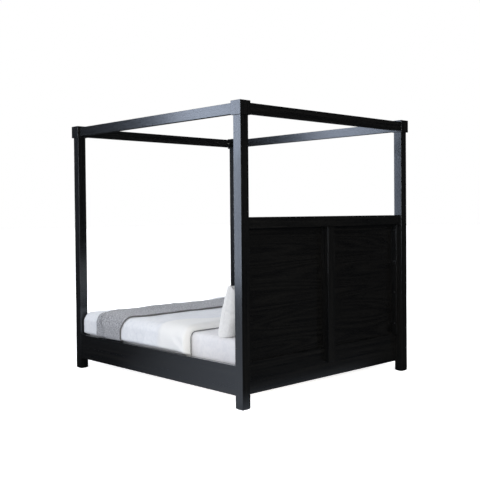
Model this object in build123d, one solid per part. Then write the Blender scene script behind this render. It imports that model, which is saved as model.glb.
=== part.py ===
"""Four poster canopy bed in black-stained oak, with its mattress, duvet, throw and pillows.

Frame: origin on the floor under the middle of the bed, +Z up, +Y towards the head,
+X to the right of someone who stands at the foot and looks at the headboard.
All sizes are in millimetres.
"""
from build123d import *
import os

# ---------------------------------------------------------------- driving sizes
bed_height = 2180.0        # floor to the top of the corner caps
bed_width = 1966.0         # over the outer faces of the posts
bed_length = 2214.0        # over the outer faces of the posts
post_side = 75.0
edge_round = 1.5           # softened arris on every visible wooden edge

mattress_width = 1800.0
mattress_length = 2000.0
mattress_bottom = 216.5
mattress_corner = 40.0
mattress_border = 22.0
mattress_top = 475.0

half_width = bed_width / 2
half_length = bed_length / 2
post_in_x = half_width - post_side      # inner faces of the posts
post_in_y = half_length - post_side

# posts and corner caps
glide_height = 4.0
glide_side = 56.0
glide_round = 1.0
foot_chamfer = 5.0
cap_overhang = 12.5
cap_side = post_side + 2 * cap_overhang
cap_height = 102.0
tenon_side = 50.0
tenon_height = 35.0
tenon_play = 0.5

# canopy rails
canopy_thick = 42.0
canopy_high = 78.0
canopy_inset = 6.0
canopy_drop = 13.0
canopy_top = bed_height - canopy_drop

# low rails
rail_thick = 32.0
rail_inset = 4.0
rail_bottom = 96.0
rail_top = 308.0

# headboard, as depths in from the head faces of the posts
board_top = 1360.0
top_rail_high = 80.0
top_rail_depth = 6.0
bottom_rail_depth = 60.0
bottom_rail_bottom = 88.0
bottom_rail_top = 321.0
panel_depth = 80.0
panel_thick = 18.0
bed_side_depth = 102.0
tongue = 12.0
tongue_play = 0.5
centre_batten_wide = 82.0
centre_batten_depth = 18.0
centre_batten_foot = 212.0
side_batten_wide = 33.0
side_batten_depth = 32.0

# slat base
ledger_thick = 30.0
ledger_high = 40.0
slat_thick = 18.0
slat_wide = 72.0
slat_count = 16
slat_end_gap = 6.0
slat_round = 2.0
strap_play = 0.5               # between the straps and the mattress
strap_wide = 25.0
strap_thick = 1.5
strap_places = (-450.0, 450.0)
strap_past_end = 25.0          # a strap runs on past the middle of the end slats
slat_top = mattress_bottom - strap_thick - strap_play
slat_bottom = slat_top - slat_thick
beam_wide = 45.0
beam_high = 70.0
leg_side = 50.0
leg_bottom = 24.0
leg_places = {"head": 620.0, "middle": 0.0, "foot": -620.0}

# ironmongery
plate = 3.0
bracket_high = 160.0
bracket_leg = 38.0
bracket_margin = 1.0
hole_play = 0.1
stud_radius = 4.0
dowel_radius = 5.0
barrel_radius = 7.0

# bedding
soft_gap = 0.5
duvet_thick = 38.0
duvet_round = 30.0
duvet_side = 975.0         # half width over the sides that hang down
duvet_head_end = 460.0
duvet_foot_end = -1076.0
hem_gap = 4.0              # between a hanging side and the top of the rail
post_room = 2.0            # between the duvet and the foot posts
throw_thick = 4.0
throw_foot_end = -800.0
throw_head_end = -285.0
pillow_size = (880.0, 200.0, 425.0)
pillow_round = 80.0
pillow_centre_x = 480.0
pillow_lean = 18.0
pillow_turn = 5.0           # its outer end stands off towards the foot
pillow_room = 2.0          # between a pillow and the headboard

sides = {"right": 1, "left": -1}
ends = {"head": 1, "foot": -1}


# ---------------------------------------------------------------- small helpers
def block(x, y, z, round_edges=0.0):
    """A box given by its (low, high) pair along each axis, with optional rounded edges."""
    low = [min(pair) for pair in (x, y, z)]
    high = [max(pair) for pair in (x, y, z)]
    size = [b - a for a, b in zip(low, high)]
    middle = [(a + b) / 2 for a, b in zip(low, high)]
    solid = Pos(*middle) * Box(*size)
    return fillet(solid.edges(), round_edges) if round_edges else solid


def square_bar(axis, side_length, low, high, round_edges=0.0):
    """A square bar around an upright axis, from one height to another."""
    half = side_length / 2
    x = (axis[0] - half, axis[0] + half)
    y = (axis[1] - half, axis[1] + half)
    return block(x, y, (low, high), round_edges)


def rod(start, along, radius, length):
    """A round bar or a drilled hole that starts at a point and runs along a direction."""
    place = Plane(origin=start, z_dir=along)
    return place * Cylinder(radius, length, align=(Align.CENTER, Align.CENTER, Align.MIN))


def bolt(under_head, along, radius, length, head_radius, head_height):
    """A bolt whose shank runs along a direction from the underside of its head."""
    back = tuple(-c for c in along)
    return rod(under_head, along, radius, length) + rod(under_head, back, head_radius, head_height)


def moved(point, along, distance):
    """A point moved along a direction."""
    return tuple(p + distance * a for p, a in zip(point, along))


def save(name, *solids):
    """Write one node, made of one solid or of several separate ones."""
    shape = solids[0] if len(solids) == 1 else Compound(children=[s.solid() for s in solids])
    export_step(shape, f"parts/{name}.step")


def cut(solid, tools):
    """Take a list of tools out of a solid."""
    for tool in tools:
        solid = solid - tool
    return solid


os.makedirs("parts", exist_ok=True)

# ---------------------------------------------------------------- canopy joints
# Each canopy rail meets a cap at both ends: one stud with a cross nut, and two dowels.
canopy_mid_z = canopy_top - canopy_high / 2
canopy_mid_x = half_width - canopy_inset - canopy_thick / 2
canopy_mid_y = half_length - canopy_inset - canopy_thick / 2
cap_in_x = half_width + cap_overhang - cap_side
cap_in_y = half_length + cap_overhang - cap_side
stud_in_cap = 35.0
stud_in_rail = 60.0
nut_from_end = 48.0
nut_length = 28.0
dowel_in_cap = 20.0
dowel_in_rail = 28.0
dowel_rise = 22.0

studs, barrel_nuts, canopy_dowels = [], [], []
cap_holes = {(sx, sy): [] for sx in (1, -1) for sy in (1, -1)}
rail_holes = {}


def canopy_joint(rail, corner, face, along, inward):
    """Fastenings and their holes where a rail's end meets a corner cap's face."""
    back = tuple(-c for c in along)
    stud_start = moved(face, along, -stud_in_rail)
    stud_length = stud_in_rail + stud_in_cap
    studs.append(rod(stud_start, along, stud_radius, stud_length))
    cap_holes[corner].append(rod(face, along, stud_radius + hole_play, stud_in_cap + hole_play))
    rail_holes[rail].append(rod(face, back, stud_radius + hole_play, stud_in_rail + hole_play))
    nut_axis = moved(face, along, -nut_from_end)
    nut_mouth = moved(nut_axis, inward, canopy_thick / 2)
    outward = tuple(-c for c in inward)
    nut = rod(nut_mouth, outward, barrel_radius, nut_length)
    barrel_nuts.append(nut - rod(stud_start, along, stud_radius + hole_play, stud_length))
    rail_holes[rail].append(rod(nut_mouth, outward, barrel_radius + hole_play, nut_length + hole_play))
    for rise in (-dowel_rise, dowel_rise):
        middle = moved(face, (0, 0, 1), rise)
        start = moved(middle, along, -dowel_in_rail)
        canopy_dowels.append(rod(start, along, dowel_radius, dowel_in_rail + dowel_in_cap))
        cap_holes[corner].append(rod(middle, along, dowel_radius + hole_play, dowel_in_cap + hole_play))
        rail_holes[rail].append(rod(middle, back, dowel_radius + hole_play, dowel_in_rail + hole_play))


for side, sx in sides.items():
    rail_holes[side] = []
    for sy in ends.values():
        face = (sx * canopy_mid_x, sy * cap_in_y, canopy_mid_z)
        canopy_joint(side, (sx, sy), face, (0, sy, 0), (-sx, 0, 0))
for end, sy in ends.items():
    rail_holes[end] = []
    for sx in sides.values():
        face = (sx * cap_in_x, sy * canopy_mid_y, canopy_mid_z)
        canopy_joint(end, (sx, sy), face, (sx, 0, 0), (0, -sy, 0))

canopy_z = (canopy_top - canopy_high, canopy_top)
for side, sx in sides.items():
    x = (sx * (canopy_mid_x - canopy_thick / 2), sx * (canopy_mid_x + canopy_thick / 2))
    rail = block(x, (-cap_in_y, cap_in_y), canopy_z, edge_round)
    save(f"canopy_rail_{side}", cut(rail, rail_holes[side]))
for end, sy in ends.items():
    y = (sy * (canopy_mid_y - canopy_thick / 2), sy * (canopy_mid_y + canopy_thick / 2))
    rail = block((-cap_in_x, cap_in_x), y, canopy_z, edge_round)
    save(f"canopy_rail_{end}", cut(rail, rail_holes[end]))
save("canopy_studs", *studs)
save("canopy_cross_nuts", *barrel_nuts)
save("canopy_dowels", *canopy_dowels)

# ---------------------------------------------------------------- low rail brackets
bracket_bottom = (rail_bottom + rail_top - bracket_high) / 2
bracket_z = (bracket_bottom, bracket_bottom + bracket_high)
rail_in_x = half_width - rail_inset - rail_thick
rail_in_y = half_length - rail_inset - rail_thick
bracket_hole_inset = 35.0     # from the ends of a bracket to its holes
bracket_hole_to_corner = 12.0 # extra room between the screws and the bolt heads in the corner
bracket_bolt_z = (bracket_z[0] + bracket_hole_inset, bracket_z[1] - bracket_hole_inset)
lag_radius = 4.0
lag_length = 52.0
lag_head_radius = 7.5
lag_head_height = 4.5
screw_radius = 2.5
screw_length = 22.0
screw_head_radius = 5.0
screw_head_height = 2.5

bracket_lags, bracket_screws = [], []
post_holes = {(sx, sy): [] for sx in (1, -1) for sy in (1, -1)}
low_rail_holes = {"right": [], "left": [], "foot": []}


def bracket(corner, rail, at_post, at_rail, post_way, rail_way):
    """One steel angle between a post's inner face and a rail's inner face.

    at_post is the middle of the leg on the post, at_rail the middle of the leg on the rail,
    and post_way and rail_way point from the steel into the wood.
    """
    angle = at_post["leg"] + at_rail["leg"]
    for z in bracket_bolt_z:
        spot = (at_post["spot"][0], at_post["spot"][1], z)
        head = moved(spot, post_way, -plate)
        angle = angle - rod(head, post_way, lag_radius + hole_play, plate)
        post_holes[corner].append(rod(spot, post_way, lag_radius + hole_play, lag_length))
        bracket_lags.append(bolt(head, post_way, lag_radius, lag_length, lag_head_radius, lag_head_height))
        spot = (at_rail["spot"][0], at_rail["spot"][1], z)
        head = moved(spot, rail_way, -plate)
        angle = angle - rod(head, rail_way, screw_radius + hole_play, plate)
        low_rail_holes[rail].append(rod(spot, rail_way, screw_radius + hole_play, screw_length))
        bracket_screws.append(
            bolt(head, rail_way, screw_radius, screw_length, screw_head_radius, screw_head_height))
    return angle


for side, sx in sides.items():
    for end, sy in ends.items():
        x_free = post_in_x + bracket_margin
        post_leg = block((sx * x_free, sx * rail_in_x), (sy * (post_in_y - plate), sy * post_in_y), bracket_z)
        reach_y = post_in_y - bracket_leg
        rail_leg = block((sx * (rail_in_x - plate), sx * rail_in_x), (sy * reach_y, sy * post_in_y), bracket_z)
        at_post = {"leg": post_leg, "spot": (sx * (x_free + rail_in_x - plate) / 2, sy * post_in_y)}
        screw_y = (reach_y + post_in_y - plate - bracket_hole_to_corner) / 2
        at_rail = {"leg": rail_leg, "spot": (sx * rail_in_x, sy * screw_y)}
        angle = bracket((sx, sy), side, at_post, at_rail, (0, sy, 0), (sx, 0, 0))
        save(f"side_rail_bracket_{end}_{side}", angle)

for side, sx in sides.items():
    y_free = post_in_y + bracket_margin
    post_leg = block((sx * (post_in_x - plate), sx * post_in_x), (-y_free, -rail_in_y), bracket_z)
    reach_x = post_in_x - bracket_leg
    rail_leg = block((sx * reach_x, sx * post_in_x), (-(rail_in_y - plate), -rail_in_y), bracket_z)
    at_post = {"leg": post_leg, "spot": (sx * post_in_x, -(y_free + rail_in_y - plate) / 2)}
    screw_x = (reach_x + post_in_x - plate - bracket_hole_to_corner) / 2
    at_rail = {"leg": rail_leg, "spot": (sx * screw_x, -rail_in_y)}
    angle = bracket((sx, -1), "foot", at_post, at_rail, (sx, 0, 0), (0, -1, 0))
    save(f"foot_rail_bracket_{side}", angle)
save("bracket_lag_bolts", *bracket_lags)
save("bracket_screws", *bracket_screws)

# ---------------------------------------------------------------- headboard
def depth(value):
    """The Y place of a depth in from the head faces of the posts."""
    return half_length - value


board_in_y = depth(bed_side_depth)
panel_y = (depth(panel_depth + panel_thick), depth(panel_depth))
groove_y = (panel_y[0] - tongue_play, panel_y[1] + tongue_play)
top_rail_bottom = board_top - top_rail_high
groove_reach = tongue + tongue_play
board_x = (-post_in_x, post_in_x)

board_dowel_radius = 4.0
board_dowel_half = 20.0
top_dowel_insets = (25.0, 55.0)        # in from the head face and down from the top of the top rail
bottom_dowel_depth = 67.5              # deep enough to miss the lag bolts of the brackets
bottom_dowel_rises = (40.0, 173.0)     # up from the underside of the bottom rail
board_dowel_spots = [(depth(inset), board_top - inset) for inset in top_dowel_insets]
board_dowel_spots += [(depth(bottom_dowel_depth), bottom_rail_bottom + rise) for rise in bottom_dowel_rises]
board_bolt_z = (420.0, 690.0, 960.0, 1230.0)
board_bolt_from_panel = 28.0           # from the panel's head face to the bolts in the side battens
board_bolt_y = depth(panel_depth - board_bolt_from_panel)
board_bolt_length = 60.0
board_bolt_head = 6.0

board_dowels, board_dowel_holes, board_bolts = [], [], []
for side, sx in sides.items():
    for y, z in board_dowel_spots:
        start = (sx * (post_in_x - board_dowel_half), y, z)
        board_dowels.append(rod(start, (sx, 0, 0), board_dowel_radius, 2 * board_dowel_half))
        start = moved(start, (sx, 0, 0), -hole_play)
        hole = rod(start, (sx, 0, 0), board_dowel_radius + hole_play, 2 * (board_dowel_half + hole_play))
        board_dowel_holes.append(hole)
        post_holes[(sx, 1)].append(hole)

top_rail = block(board_x, (board_in_y, depth(top_rail_depth)), (top_rail_bottom, board_top), edge_round)
top_groove = block(board_x, groove_y, (top_rail_bottom, top_rail_bottom + groove_reach))
save("headboard_top_rail", cut(top_rail, [top_groove, *board_dowel_holes]))

bottom_rail = block(
    board_x, (board_in_y, depth(bottom_rail_depth)), (bottom_rail_bottom, bottom_rail_top), edge_round)
bottom_groove = block(board_x, groove_y, (bottom_rail_top - groove_reach, bottom_rail_top))
bottom_rail = cut(bottom_rail, [bottom_groove, *board_dowel_holes])

panel_z = (bottom_rail_top - tongue, top_rail_bottom + tongue)
for side, sx in sides.items():
    panel = block((0.0, sx * (post_in_x - tongue_play)), panel_y, panel_z)
    save(f"headboard_panel_{side}", panel)

half_batten = centre_batten_wide / 2
batten = block(
    (-half_batten, half_batten), (panel_y[1], depth(centre_batten_depth)),
    (centre_batten_foot, top_rail_bottom), edge_round)
batten_notch = block(
    (-half_batten, half_batten), (panel_y[1], depth(bottom_rail_depth)),
    (centre_batten_foot, bottom_rail_top))
save("headboard_centre_batten", batten - batten_notch)

for side, sx in sides.items():
    inner = sx * (post_in_x - side_batten_wide)
    batten = block(
        (inner, sx * post_in_x), (panel_y[1], depth(side_batten_depth)), (bottom_rail_top, top_rail_bottom),
        edge_round)
    for z in board_bolt_z:
        mouth = (inner, board_bolt_y, z)
        under_head = moved(mouth, (sx, 0, 0), board_bolt_head)
        board_bolts.append(
            bolt(under_head, (sx, 0, 0), lag_radius, board_bolt_length, lag_head_radius, board_bolt_head))
        shank = rod(under_head, (sx, 0, 0), lag_radius + hole_play, board_bolt_length + hole_play)
        batten = cut(batten, [shank, rod(mouth, (sx, 0, 0), lag_head_radius + hole_play, board_bolt_head)])
        post_holes[(sx, 1)].append(shank)
    save(f"headboard_side_batten_{side}", batten)
save("headboard_dowels", *board_dowels)
save("headboard_lag_bolts", *board_bolts)

# ---------------------------------------------------------------- posts, caps and glides
cap_bottom = bed_height - cap_height
glides = []
for side, sx in sides.items():
    for end, sy in ends.items():
        axis = (sx * (half_width - post_side / 2), sy * (half_length - post_side / 2))
        shaft = square_bar(axis, post_side, glide_height, cap_bottom)
        shaft = chamfer(shaft.faces().sort_by(Axis.Z)[0].edges(), foot_chamfer)
        shaft = fillet(shaft.edges().filter_by(Axis.Z).group_by(Edge.length)[-1], edge_round)
        post = shaft + square_bar(axis, tenon_side, cap_bottom, cap_bottom + tenon_height)
        save(f"post_{end}_{side}", cut(post, post_holes[(sx, sy)]))

        cap = square_bar(axis, cap_side, cap_bottom, bed_height, edge_round)
        socket_top = cap_bottom + tenon_height + tenon_play
        socket = square_bar(axis, tenon_side + tenon_play, cap_bottom, socket_top)
        save(f"corner_cap_{end}_{side}", cut(cap, [socket, *cap_holes[(sx, sy)]]))
        glides.append(square_bar(axis, glide_side, 0.0, glide_height, glide_round))
save("post_glides", *glides)

# ---------------------------------------------------------------- low rails and ledgers
ledger_in_x = rail_in_x - ledger_thick
ledger_end_gap = 6.0           # from a ledger's end to the brackets
ledger_end_y = post_in_y - bracket_leg - ledger_end_gap
ledger_z = (slat_bottom - ledger_high, slat_bottom)
ledger_screw_length = 46.0
ledger_screw_count = 6
ledger_screw_inset = 60.0      # from a ledger's end to its outer screws
screw_tip_gap = 1.0
ledger_screws = []
for side, sx in sides.items():
    rail = block(
        (sx * rail_in_x, sx * (half_width - rail_inset)), (-post_in_y, post_in_y), (rail_bottom, rail_top),
        edge_round)
    ledger = block((sx * ledger_in_x, sx * rail_in_x), (-ledger_end_y, ledger_end_y), ledger_z, edge_round)
    for index in range(ledger_screw_count):
        share = index / (ledger_screw_count - 1) - 0.5
        mouth = (sx * ledger_in_x, share * 2 * (ledger_end_y - ledger_screw_inset), sum(ledger_z) / 2)
        under_head = moved(mouth, (sx, 0, 0), screw_head_height)
        shank = rod(under_head, (sx, 0, 0), screw_radius + hole_play, ledger_screw_length)
        sink = rod(mouth, (sx, 0, 0), screw_head_radius + hole_play, screw_head_height)
        ledger_screws.append(
            bolt(under_head, (sx, 0, 0), screw_radius, ledger_screw_length - screw_tip_gap,
                 screw_head_radius, screw_head_height))
        ledger = cut(ledger, [shank, sink])
        low_rail_holes[side].append(shank)
    save(f"side_rail_{side}", cut(rail, low_rail_holes[side]))
    save(f"slat_ledger_{side}", ledger)
save("ledger_screws", *ledger_screws)

# ---------------------------------------------------------------- centre beam
beam_z = (slat_bottom - beam_high, slat_bottom)
hanger_plate_wide = 90.0
hanger_seat = 40.0
hanger_play = 0.5
hanger_rise = 50.0
hanger_hole_insets = (13.0, 10.0)      # up from the seat and down from the top of the plate
hanger_hole_from_edge = 10.0
hanger_screws = []
hanger_faces = {"head": (board_in_y, 1), "foot": (-rail_in_y, -1)}
hanger_holes = {"head": [], "foot": []}
cheek_in = beam_wide / 2 + hanger_play
for end, (face_y, sy) in hanger_faces.items():
    near_y = face_y - sy * plate
    far_y = face_y - sy * (plate + hanger_seat)
    seat_z = beam_z[0] - hanger_play - plate
    half = hanger_plate_wide / 2
    hanger = block((-half, half), (near_y, face_y), (seat_z, beam_z[0] + hanger_rise))
    cheek_out = cheek_in + plate
    hanger = hanger + block((-cheek_out, cheek_out), (far_y, near_y), (seat_z, seat_z + plate))
    for sx in (1, -1):
        cheek = block((sx * cheek_in, sx * cheek_out), (far_y, near_y), (seat_z, beam_z[0] + hanger_rise))
        hanger = hanger + cheek
        for z in (seat_z + hanger_hole_insets[0], beam_z[0] + hanger_rise - hanger_hole_insets[1]):
            under_head = (sx * (half - hanger_hole_from_edge), near_y, z)
            hole = rod(under_head, (0, sy, 0), screw_radius + hole_play, screw_length + plate)
            hanger = hanger - hole
            hanger_holes[end].append(hole)
            hanger_screws.append(
                bolt(under_head, (0, sy, 0), screw_radius, screw_length, screw_head_radius, screw_head_height))
    save(f"beam_hanger_{end}", hanger)
save("hanger_screws", *hanger_screws)

save("headboard_bottom_rail", cut(bottom_rail, hanger_holes["head"]))
foot_rail = block(
    (-post_in_x, post_in_x), (-(half_length - rail_inset), -rail_in_y), (rail_bottom, rail_top), edge_round)
save("foot_rail", cut(foot_rail, [*low_rail_holes["foot"], *hanger_holes["foot"]]))

# ---------------------------------------------------------------- centre legs and levelling feet
leg_stud_half = 30.0
insert_height = 14.0
insert_radius = 7.0
insert_flange_radius = 11.0
insert_flange = 1.5
pad_radius = 22.0
pad_height = 8.0
stem_radius = 5.0
stem_clearance = 0.06
stem_length = 48.0
stem_room_play = 1.0           # the hole in the wood is wider than the stem by this all round
stem_room_above = 8.0
pad_round = 2.5
beam_end_play = 1.0
leg_studs, leg_inserts, beam_holes = [], [], []
for place, leg_y in leg_places.items():
    half = leg_side / 2
    leg = block((-half, half), (leg_y - half, leg_y + half), (leg_bottom, beam_z[0]), edge_round)
    stud_start = (0.0, leg_y, beam_z[0] - leg_stud_half)
    leg_studs.append(rod(stud_start, (0, 0, 1), stud_radius, 2 * leg_stud_half))
    stud_hole_start = moved(stud_start, (0, 0, 1), -hole_play)
    stud_hole = rod(stud_hole_start, (0, 0, 1), stud_radius + hole_play, 2 * (leg_stud_half + hole_play))
    beam_holes.append(stud_hole)
    base = (0.0, leg_y, leg_bottom)
    insert = rod(base, (0, 0, 1), insert_radius, insert_height)
    insert = insert + rod(base, (0, 0, -1), insert_flange_radius, insert_flange)
    bore_start = (0.0, leg_y, leg_bottom - insert_flange)
    stem_bore = rod(bore_start, (0, 0, 1), stem_radius + stem_clearance, insert_flange + insert_height)
    leg_inserts.append(insert - stem_bore)
    stem_room = rod(base, (0, 0, 1), stem_radius + stem_room_play, stem_length + stem_room_above)
    insert_hole = rod(base, (0, 0, 1), insert_radius + hole_play, insert_height + hole_play)
    save(f"centre_leg_{place}", cut(leg, [stud_hole, stem_room, insert_hole]))

    pad = rod((0.0, leg_y, 0.0), (0, 0, 1), pad_radius, pad_height)
    pad = fillet(pad.edges().sort_by(Axis.Z)[-1], pad_round)
    foot = pad + rod((0.0, leg_y, pad_height), (0, 0, 1), stem_radius, stem_length)
    save(f"levelling_foot_{place}", foot)
save("leg_studs", *leg_studs)
save("leg_inserts", *leg_inserts)

beam_end_gap = plate + beam_end_play
beam = block(
    (-beam_wide / 2, beam_wide / 2), (-rail_in_y + beam_end_gap, board_in_y - beam_end_gap), beam_z, edge_round)
save("centre_beam", cut(beam, beam_holes))

# ---------------------------------------------------------------- slats
slat_half = rail_in_x - slat_end_gap
slat_foot_margin = 4.0         # from the end of the ledgers to the first slat
slat_head_margin = 14.0        # from the headboard to the last slat
slat_first = -(ledger_end_y - slat_wide / 2 - slat_foot_margin)
slat_last = board_in_y - slat_wide / 2 - slat_head_margin
slats = []
for index in range(slat_count):
    middle = slat_first + (slat_last - slat_first) * index / (slat_count - 1)
    slats.append(
        block((-slat_half, slat_half), (middle - slat_wide / 2, middle + slat_wide / 2),
              (slat_bottom, slat_top), slat_round))
save("slats", *slats)
straps = []
for x in strap_places:
    strap_x = (x - strap_wide / 2, x + strap_wide / 2)
    strap_y = (slat_first - strap_past_end, slat_last + strap_past_end)
    straps.append(block(strap_x, strap_y, (slat_top, slat_top + strap_thick)))
save("slat_straps", *straps)

# ---------------------------------------------------------------- mattress and bedding
mattress_foot = -1026.0        # 6 mm from the foot posts; the rest of the room is at the head
mattress_head = mattress_foot + mattress_length
half_mattress = mattress_width / 2
mattress = block(
    (-half_mattress, half_mattress), (mattress_foot, mattress_head), (mattress_bottom, mattress_top))
mattress = fillet(mattress.edges().filter_by(Axis.Z), mattress_corner)
mattress = fillet(mattress.edges().group_by(Axis.Z)[-1] + mattress.edges().group_by(Axis.Z)[0], mattress_border)
save("mattress", mattress)

duvet_top = mattress_top + soft_gap + duvet_thick
hem_z = rail_top + hem_gap
duvet = block((-duvet_side, duvet_side), (duvet_foot_end, duvet_head_end), (hem_z, duvet_top))
duvet = fillet(duvet.edges().group_by(Axis.Z)[-1], duvet_round)
inside = block(
    (-half_mattress - soft_gap, half_mattress + soft_gap), (mattress_foot - soft_gap, duvet_head_end),
    (hem_z, mattress_top + soft_gap))
corners = [
    block((sx * (post_in_x - post_room), sx * duvet_side), (duvet_foot_end, -(post_in_y - post_room)),
          (hem_z, duvet_top))
    for sx in (1, -1)
]
duvet = cut(duvet, [inside, *corners])
save("duvet", duvet)

throw_side = duvet_side + soft_gap + throw_thick
throw_top = duvet_top + soft_gap + throw_thick
throw = block((-throw_side, throw_side), (throw_foot_end, throw_head_end), (hem_z, throw_top))
throw = fillet(throw.edges().filter_by(Axis.Y).group_by(Axis.Z)[-1], duvet_round + throw_thick)
under = block(
    (-duvet_side - soft_gap, duvet_side + soft_gap), (throw_foot_end, throw_head_end),
    (hem_z, duvet_top + soft_gap))
under = fillet(under.edges().filter_by(Axis.Y).group_by(Axis.Z)[-1], duvet_round)
save("throw", throw - under)

for side, sx in sides.items():
    pillow = Box(*pillow_size)
    pillow = fillet(pillow.edges(), pillow_round)
    pillow = Rot(Z=-sx * pillow_turn) * Rot(X=-pillow_lean) * pillow
    reach = pillow.bounding_box()
    rest_y = board_in_y - pillow_room - reach.max.Y
    rest_z = mattress_top + 2 * soft_gap - reach.min.Z
    save(f"pillow_{side}", Pos(sx * pillow_centre_x, rest_y, rest_z) * pillow)
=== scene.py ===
"""Looks of a four poster canopy bed: wood finishes, ironmongery, mattress, duvet, throw and pillows."""
import logging
import math
from dataclasses import dataclass, field
from enum import Enum
from typing import Any, Callable

import bpy
import numpy as np
from mathutils import Matrix, Vector
from mathutils.bvhtree import BVHTree


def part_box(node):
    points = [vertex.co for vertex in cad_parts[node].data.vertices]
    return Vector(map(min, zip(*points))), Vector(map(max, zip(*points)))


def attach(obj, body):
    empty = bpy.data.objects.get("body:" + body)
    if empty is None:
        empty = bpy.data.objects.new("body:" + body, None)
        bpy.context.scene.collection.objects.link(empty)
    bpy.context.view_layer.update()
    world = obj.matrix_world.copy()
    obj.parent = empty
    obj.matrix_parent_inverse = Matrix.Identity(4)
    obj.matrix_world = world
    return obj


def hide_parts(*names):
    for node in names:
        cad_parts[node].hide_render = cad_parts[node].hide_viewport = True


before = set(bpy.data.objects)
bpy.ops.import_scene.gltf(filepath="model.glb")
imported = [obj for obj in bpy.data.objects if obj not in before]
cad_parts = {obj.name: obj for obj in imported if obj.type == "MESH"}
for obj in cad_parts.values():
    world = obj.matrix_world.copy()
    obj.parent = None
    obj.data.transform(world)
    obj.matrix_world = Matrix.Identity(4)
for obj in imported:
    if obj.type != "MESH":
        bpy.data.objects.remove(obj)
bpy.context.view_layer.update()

log = logging.getLogger("bed")
MM = 0.001
WAVE_RATE = 20              # a wave texture turns 20 radians for each unit of its scale


class Grain(Enum):
    """The way the wood fibres of a member run."""

    ACROSS = 0
    ALONG = 1
    UPRIGHT = 2


class Side(Enum):
    """The two sides of the bed."""

    RIGHT = 1
    LEFT = -1


# ------------------------------------------------------------------ node and colour helpers
def linear(code: str) -> tuple[float, float, float, float]:
    """Turn an sRGB hex code into a linear colour.

    Args:
        code: Six hex digits, with or without a leading hash.

    Returns:
        The linear red, green, blue and an alpha of one.
    """
    digits = code.lstrip("#")
    parts = [int(digits[i:i + 2], 16) / 255 for i in (0, 2, 4)]
    flat = [c / 12.92 if c <= 0.04045 else ((c + 0.055) / 1.055) ** 2.4 for c in parts]
    return (flat[0], flat[1], flat[2], 1.0)


def add(tree: bpy.types.NodeTree, kind: str, settings: dict[Any, Any] | None = None,
        links: dict[Any, bpy.types.NodeSocket] | None = None) -> bpy.types.Node:
    """Add one node with its settings and links.

    Args:
        tree: The node tree that gets the node.
        kind: The node's type name.
        settings: Attributes or inputs by name or number, and "stops" for a colour ramp.
        links: For each input, by name or number, the socket that feeds it.

    Returns:
        The new node.
    """
    made = tree.nodes.new(kind)
    for key, value in (settings or {}).items():
        if key == "stops":
            ramp = made.color_ramp.elements
            while len(ramp) < len(value):
                ramp.new(0.5)
            for stop, (place, colour) in zip(ramp, value):
                stop.position = place
                stop.color = colour
        elif isinstance(key, str) and hasattr(made, key):
            setattr(made, key, value)
        else:
            made.inputs[key].default_value = value
    for key, socket in (links or {}).items():
        tree.links.new(socket, made.inputs[key])
    return made


# ------------------------------------------------------------------ finishes
@dataclass(frozen=True)
class Finish:
    """A surface finish that can be built once and shared by many pieces."""

    name: str = "finish"

    def build(self) -> bpy.types.Material:
        """Return the finish's material, making it the first time.

        Returns:
            The Blender material.
        """
        known = bpy.data.materials.get(self.name)
        if known is not None:
            return known
        made = bpy.data.materials.new(self.name)
        made.use_nodes = True
        tree = made.node_tree
        tree.nodes.clear()
        shader = add(tree, "ShaderNodeBsdfPrincipled")
        add(tree, "ShaderNodeOutputMaterial", links={"Surface": shader.outputs["BSDF"]})
        self.paint(tree, shader)
        return made

    def paint(self, tree: bpy.types.NodeTree, shader: bpy.types.Node) -> None:
        """Connect the finish's nodes to the shader; each finish has its own.

        Args:
            tree: The node tree of the material.
            shader: Its surface shader.
        """
        raise NotImplementedError


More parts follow.
